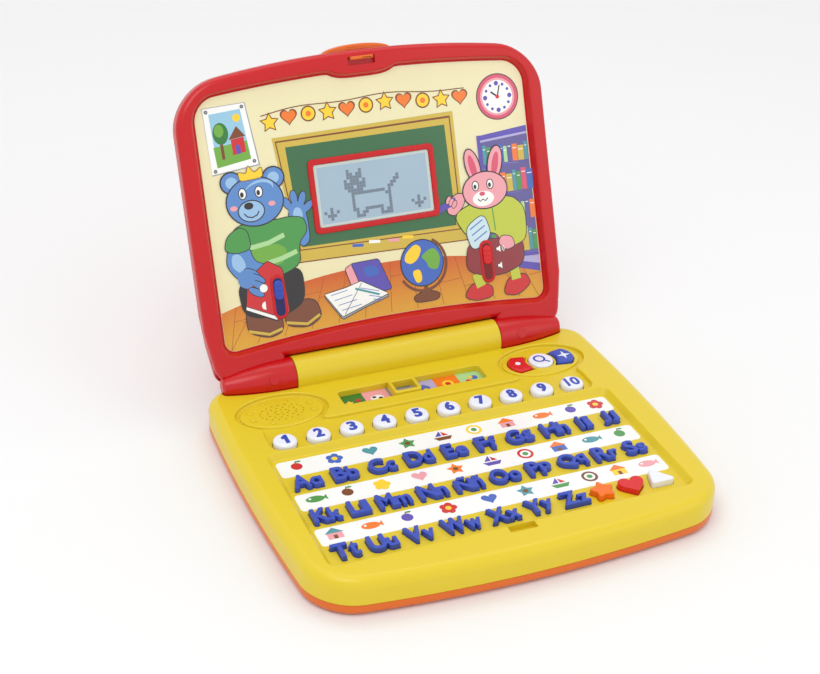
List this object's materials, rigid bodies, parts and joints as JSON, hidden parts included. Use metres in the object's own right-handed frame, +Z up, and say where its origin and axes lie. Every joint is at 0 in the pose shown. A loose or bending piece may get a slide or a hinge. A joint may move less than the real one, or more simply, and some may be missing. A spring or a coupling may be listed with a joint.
{
  "type": "toy laptop computer",
  "caption": "Toy laptop with a red lid on a barrel hinge, pressable letter, number and shape keys, a small display, slide switches and a sprung lid latch.",
  "frame": {"origin": "on the ground, under the middle of the bounding box with the lid open at rest", "axes": "+X to the user's right, +Y from the user towards the hinge, +Z up"},
  "size_m": [0.3002, 0.3354, 0.2395],
  "materials": {
    "yellow_case": "smooth glossy moulded plastic",
    "orange_case": "smooth glossy moulded plastic",
    "red_lid": "smooth glossy moulded plastic",
    "red_key": "smooth glossy moulded plastic",
    "blue_key": "soft-gloss moulded plastic",
    "white_key": "smooth glossy moulded plastic",
    "orange_key": "smooth glossy moulded plastic",
    "board": "green laminate",
    "speaker_black": "matte",
    "printed_card": "printed card",
    "battery_sleeve": "printed metal sleeve",
    "printed_picture": "glossy printed sheet",
    "display_grey": "reflective liquid crystal panel",
    "display_window": "clear plastic window"
  },
  "bodies": {
    "base": {"top_case": "yellow_case", "hinge_barrel": "yellow_case", "bottom_case": "orange_case", "battery_door": "orange_case", "battery_cells": "battery_sleeve", "speaker": "speaker_black", "main_board": "board", "mode_card": "printed_card"},
    "lid": {"lid_front": "red_lid", "lid_back": "red_lid", "lid_picture": "printed_picture", "lcd_module": "display_grey", "lcd_window": "display_window"},
    "mode_cursor": {"mode_cursor": "yellow_case"},
    "contrast_slider": {"contrast_slider": "blue_key"},
    "volume_slider": {"volume_slider": "red_key"},
    "latch": {"latch": "orange_case"},
    "letter_key_A": {"letter_key_A": "blue_key"},
    "letter_key_B": {"letter_key_B": "blue_key"},
    "letter_key_C": {"letter_key_C": "blue_key"},
    "letter_key_D": {"letter_key_D": "blue_key"},
    "letter_key_E": {"letter_key_E": "blue_key"},
    "letter_key_F": {"letter_key_F": "blue_key"},
    "letter_key_G": {"letter_key_G": "blue_key"},
    "letter_key_H": {"letter_key_H": "blue_key"},
    "letter_key_I": {"letter_key_I": "blue_key"},
    "letter_key_J": {"letter_key_J": "blue_key"},
    "letter_key_K": {"letter_key_K": "blue_key"},
    "letter_key_L": {"letter_key_L": "blue_key"},
    "letter_key_M": {"letter_key_M": "blue_key"},
    "letter_key_N": {"letter_key_N": "blue_key"},
    "letter_key_N_tilde": {"letter_key_N_tilde": "blue_key"},
    "letter_key_O": {"letter_key_O": "blue_key"},
    "letter_key_P": {"letter_key_P": "blue_key"},
    "letter_key_Q": {"letter_key_Q": "blue_key"},
    "letter_key_R": {"letter_key_R": "blue_key"},
    "letter_key_S": {"letter_key_S": "blue_key"},
    "letter_key_T": {"letter_key_T": "blue_key"},
    "letter_key_U": {"letter_key_U": "blue_key"},
    "letter_key_V": {"letter_key_V": "blue_key"},
    "letter_key_W": {"letter_key_W": "blue_key"},
    "letter_key_X": {"letter_key_X": "blue_key"},
    "letter_key_Y": {"letter_key_Y": "blue_key"},
    "letter_key_Z": {"letter_key_Z": "blue_key"},
    "star_key": {"star_key": "orange_key"},
    "heart_key": {"heart_key": "red_key"},
    "triangle_key": {"triangle_key": "white_key"},
    "number_key_1": {"number_key_1": "white_key"},
    "number_key_2": {"number_key_2": "white_key"},
    "number_key_3": {"number_key_3": "white_key"},
    "number_key_4": {"number_key_4": "white_key"},
    "number_key_5": {"number_key_5": "white_key"},
    "number_key_6": {"number_key_6": "white_key"},
    "number_key_7": {"number_key_7": "white_key"},
    "number_key_8": {"number_key_8": "white_key"},
    "number_key_9": {"number_key_9": "white_key"},
    "number_key_10": {"number_key_10": "white_key"},
    "left_function_key": {"left_function_key": "red_key"},
    "round_function_key": {"round_function_key": "white_key"},
    "right_function_key": {"right_function_key": "blue_key"}
  },
  "joints": [
    {"name": "lid_hinge", "type": "hinge", "parent": "base", "child": "lid", "pos_m": [0, 0.07291, 0.0301], "axis": [1, 0, 0], "range_deg": [0, 111.4]},
    {"name": "mode_cursor_slide", "type": "slide", "parent": "base", "child": "mode_cursor", "axis": [1, 0, 0], "range_m": [-0.034, 0.05]},
    {"name": "contrast_slider_slide", "type": "slide", "parent": "lid", "child": "contrast_slider", "axis": [0, -0.3657, -0.9307], "range_m": [0, 0.01]},
    {"name": "volume_slider_slide", "type": "slide", "parent": "lid", "child": "volume_slider", "axis": [0, -0.3657, -0.9307], "range_m": [0, 0.01]},
    {"name": "latch_slide", "type": "slide", "parent": "lid", "child": "latch", "axis": [0, -0.3657, -0.9307], "range_m": [0, 0.0013], "stiffness_N_per_m": 300, "springref_m": -0.0013},
    {"name": "letter_key_A_press", "type": "slide", "parent": "base", "child": "letter_key_A", "axis": [0, 0, -1], "range_m": [0, 0.0018], "stiffness_N_per_m": 200, "springref_m": -0.002},
    {"name": "letter_key_B_press", "type": "slide", "parent": "base", "child": "letter_key_B", "axis": [0, 0, -1], "range_m": [0, 0.0018], "stiffness_N_per_m": 200, "springref_m": -0.002},
    {"name": "letter_key_C_press", "type": "slide", "parent": "base", "child": "letter_key_C", "axis": [0, 0, -1], "range_m": [0, 0.0018], "stiffness_N_per_m": 200, "springref_m": -0.002},
    {"name": "letter_key_D_press", "type": "slide", "parent": "base", "child": "letter_key_D", "axis": [0, 0, -1], "range_m": [0, 0.0018], "stiffness_N_per_m": 200, "springref_m": -0.002},
    {"name": "letter_key_E_press", "type": "slide", "parent": "base", "child": "letter_key_E", "axis": [0, 0, -1], "range_m": [0, 0.0018], "stiffness_N_per_m": 200, "springref_m": -0.002},
    {"name": "letter_key_F_press", "type": "slide", "parent": "base", "child": "letter_key_F", "axis": [0, 0, -1], "range_m": [0, 0.0018], "stiffness_N_per_m": 200, "springref_m": -0.002},
    {"name": "letter_key_G_press", "type": "slide", "parent": "base", "child": "letter_key_G", "axis": [0, 0, -1], "range_m": [0, 0.0018], "stiffness_N_per_m": 200, "springref_m": -0.002},
    {"name": "letter_key_H_press", "type": "slide", "parent": "base", "child": "letter_key_H", "axis": [0, 0, -1], "range_m": [0, 0.0018], "stiffness_N_per_m": 200, "springref_m": -0.002},
    {"name": "letter_key_I_press", "type": "slide", "parent": "base", "child": "letter_key_I", "axis": [0, 0, -1], "range_m": [0, 0.0018], "stiffness_N_per_m": 200, "springref_m": -0.002},
    {"name": "letter_key_J_press", "type": "slide", "parent": "base", "child": "letter_key_J", "axis": [0, 0, -1], "range_m": [0, 0.0018], "stiffness_N_per_m": 200, "springref_m": -0.002},
    {"name": "letter_key_K_press", "type": "slide", "parent": "base", "child": "letter_key_K", "axis": [0, 0, -1], "range_m": [0, 0.0018], "stiffness_N_per_m": 200, "springref_m": -0.002},
    {"name": "letter_key_L_press", "type": "slide", "parent": "base", "child": "letter_key_L", "axis": [0, 0, -1], "range_m": [0, 0.0018], "stiffness_N_per_m": 200, "springref_m": -0.002},
    {"name": "letter_key_M_press", "type": "slide", "parent": "base", "child": "letter_key_M", "axis": [0, 0, -1], "range_m": [0, 0.0018], "stiffness_N_per_m": 200, "springref_m": -0.002},
    {"name": "letter_key_N_press", "type": "slide", "parent": "base", "child": "letter_key_N", "axis": [0, 0, -1], "range_m": [0, 0.0018], "stiffness_N_per_m": 200, "springref_m": -0.002},
    {"name": "letter_key_N_tilde_press", "type": "slide", "parent": "base", "child": "letter_key_N_tilde", "axis": [0, 0, -1], "range_m": [0, 0.0018], "stiffness_N_per_m": 200, "springref_m": -0.002},
    {"name": "letter_key_O_press", "type": "slide", "parent": "base", "child": "letter_key_O", "axis": [0, 0, -1], "range_m": [0, 0.0018], "stiffness_N_per_m": 200, "springref_m": -0.002},
    {"name": "letter_key_P_press", "type": "slide", "parent": "base", "child": "letter_key_P", "axis": [0, 0, -1], "range_m": [0, 0.0018], "stiffness_N_per_m": 200, "springref_m": -0.002},
    {"name": "letter_key_Q_press", "type": "slide", "parent": "base", "child": "letter_key_Q", "axis": [0, 0, -1], "range_m": [0, 0.0018], "stiffness_N_per_m": 200, "springref_m": -0.002},
    {"name": "letter_key_R_press", "type": "slide", "parent": "base", "child": "letter_key_R", "axis": [0, 0, -1], "range_m": [0, 0.0018], "stiffness_N_per_m": 200, "springref_m": -0.002},
    {"name": "letter_key_S_press", "type": "slide", "parent": "base", "child": "letter_key_S", "axis": [0, 0, -1], "range_m": [0, 0.0018], "stiffness_N_per_m": 200, "springref_m": -0.002},
    {"name": "letter_key_T_press", "type": "slide", "parent": "base", "child": "letter_key_T", "axis": [0, 0, -1], "range_m": [0, 0.0018], "stiffness_N_per_m": 200, "springref_m": -0.002},
    {"name": "letter_key_U_press", "type": "slide", "parent": "base", "child": "letter_key_U", "axis": [0, 0, -1], "range_m": [0, 0.0018], "stiffness_N_per_m": 200, "springref_m": -0.002},
    {"name": "letter_key_V_press", "type": "slide", "parent": "base", "child": "letter_key_V", "axis": [0, 0, -1], "range_m": [0, 0.0018], "stiffness_N_per_m": 200, "springref_m": -0.002},
    {"name": "letter_key_W_press", "type": "slide", "parent": "base", "child": "letter_key_W", "axis": [0, 0, -1], "range_m": [0, 0.0018], "stiffness_N_per_m": 200, "springref_m": -0.002},
    {"name": "letter_key_X_press", "type": "slide", "parent": "base", "child": "letter_key_X", "axis": [0, 0, -1], "range_m": [0, 0.0018], "stiffness_N_per_m": 200, "springref_m": -0.002},
    {"name": "letter_key_Y_press", "type": "slide", "parent": "base", "child": "letter_key_Y", "axis": [0, 0, -1], "range_m": [0, 0.0018], "stiffness_N_per_m": 200, "springref_m": -0.002},
    {"name": "letter_key_Z_press", "type": "slide", "parent": "base", "child": "letter_key_Z", "axis": [0, 0, -1], "range_m": [0, 0.0018], "stiffness_N_per_m": 200, "springref_m": -0.002},
    {"name": "star_key_press", "type": "slide", "parent": "base", "child": "star_key", "axis": [0, 0, -1], "range_m": [0, 0.0018], "stiffness_N_per_m": 200, "springref_m": -0.002},
    {"name": "heart_key_press", "type": "slide", "parent": "base", "child": "heart_key", "axis": [0, 0, -1], "range_m": [0, 0.0018], "stiffness_N_per_m": 200, "springref_m": -0.002},
    {"name": "triangle_key_press", "type": "slide", "parent": "base", "child": "triangle_key", "axis": [0, 0, -1], "range_m": [0, 0.0018], "stiffness_N_per_m": 200, "springref_m": -0.002},
    {"name": "number_key_1_press", "type": "slide", "parent": "base", "child": "number_key_1", "axis": [0, 0, -1], "range_m": [0, 0.0018], "stiffness_N_per_m": 200, "springref_m": -0.002},
    {"name": "number_key_2_press", "type": "slide", "parent": "base", "child": "number_key_2", "axis": [0, 0, -1], "range_m": [0, 0.0018], "stiffness_N_per_m": 200, "springref_m": -0.002},
    {"name": "number_key_3_press", "type": "slide", "parent": "base", "child": "number_key_3", "axis": [0, 0, -1], "range_m": [0, 0.0018], "stiffness_N_per_m": 200, "springref_m": -0.002},
    {"name": "number_key_4_press", "type": "slide", "parent": "base", "child": "number_key_4", "axis": [0, 0, -1], "range_m": [0, 0.0018], "stiffness_N_per_m": 200, "springref_m": -0.002},
    {"name": "number_key_5_press", "type": "slide", "parent": "base", "child": "number_key_5", "axis": [0, 0, -1], "range_m": [0, 0.0018], "stiffness_N_per_m": 200, "springref_m": -0.002},
    {"name": "number_key_6_press", "type": "slide", "parent": "base", "child": "number_key_6", "axis": [0, 0, -1], "range_m": [0, 0.0018], "stiffness_N_per_m": 200, "springref_m": -0.002},
    {"name": "number_key_7_press", "type": "slide", "parent": "base", "child": "number_key_7", "axis": [0, 0, -1], "range_m": [0, 0.0018], "stiffness_N_per_m": 200, "springref_m": -0.002},
    {"name": "number_key_8_press", "type": "slide", "parent": "base", "child": "number_key_8", "axis": [0, 0, -1], "range_m": [0, 0.0018], "stiffness_N_per_m": 200, "springref_m": -0.002},
    {"name": "number_key_9_press", "type": "slide", "parent": "base", "child": "number_key_9", "axis": [0, 0, -1], "range_m": [0, 0.0018], "stiffness_N_per_m": 200, "springref_m": -0.002},
    {"name": "number_key_10_press", "type": "slide", "parent": "base", "child": "number_key_10", "axis": [0, 0, -1], "range_m": [0, 0.0018], "stiffness_N_per_m": 200, "springref_m": -0.002},
    {"name": "left_function_key_press", "type": "slide", "parent": "base", "child": "left_function_key", "axis": [0, 0, -1], "range_m": [0, 0.0018], "stiffness_N_per_m": 200, "springref_m": -0.002},
    {"name": "round_function_key_press", "type": "slide", "parent": "base", "child": "round_function_key", "axis": [0, 0, -1], "range_m": [0, 0.0018], "stiffness_N_per_m": 200, "springref_m": -0.002},
    {"name": "right_function_key_press", "type": "slide", "parent": "base", "child": "right_function_key", "axis": [0, 0, -1], "range_m": [0, 0.0018], "stiffness_N_per_m": 200, "springref_m": -0.002}
  ]
}
